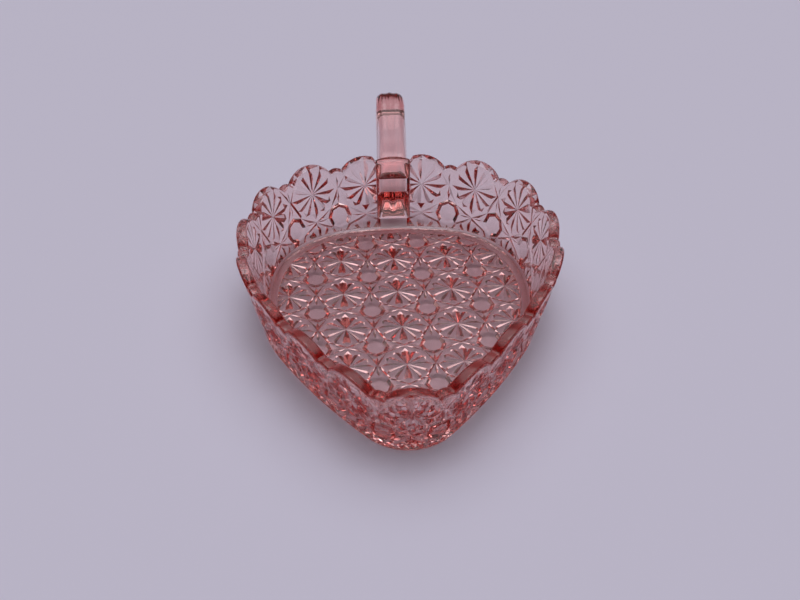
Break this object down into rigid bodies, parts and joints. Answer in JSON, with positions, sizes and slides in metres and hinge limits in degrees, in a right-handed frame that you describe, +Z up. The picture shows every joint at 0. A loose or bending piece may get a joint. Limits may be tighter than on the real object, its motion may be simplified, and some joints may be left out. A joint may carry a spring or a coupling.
{
  "type": "candy dish",
  "caption": "Shield-shaped pressed-glass candy dish with a flared scalloped wall and a strap handle looping out from its broad end.",
  "frame": {"origin": "on the table plane under the bowl, on the mirror plane, near the middle of the base", "axes": "+Z up, +Y along the mirror plane from the rounded tip to the handle, +X across the bowl"},
  "size_m": [0.1208, 0.1762, 0.047],
  "materials": {
    "bowl": "fire-polished pressed glass, transparent rose pink",
    "handle": "fire-polished pressed glass, transparent rose pink"
  },
  "bodies": {
    "root": {"bowl": "bowl", "handle": "handle"}
  },
  "joints": []
}
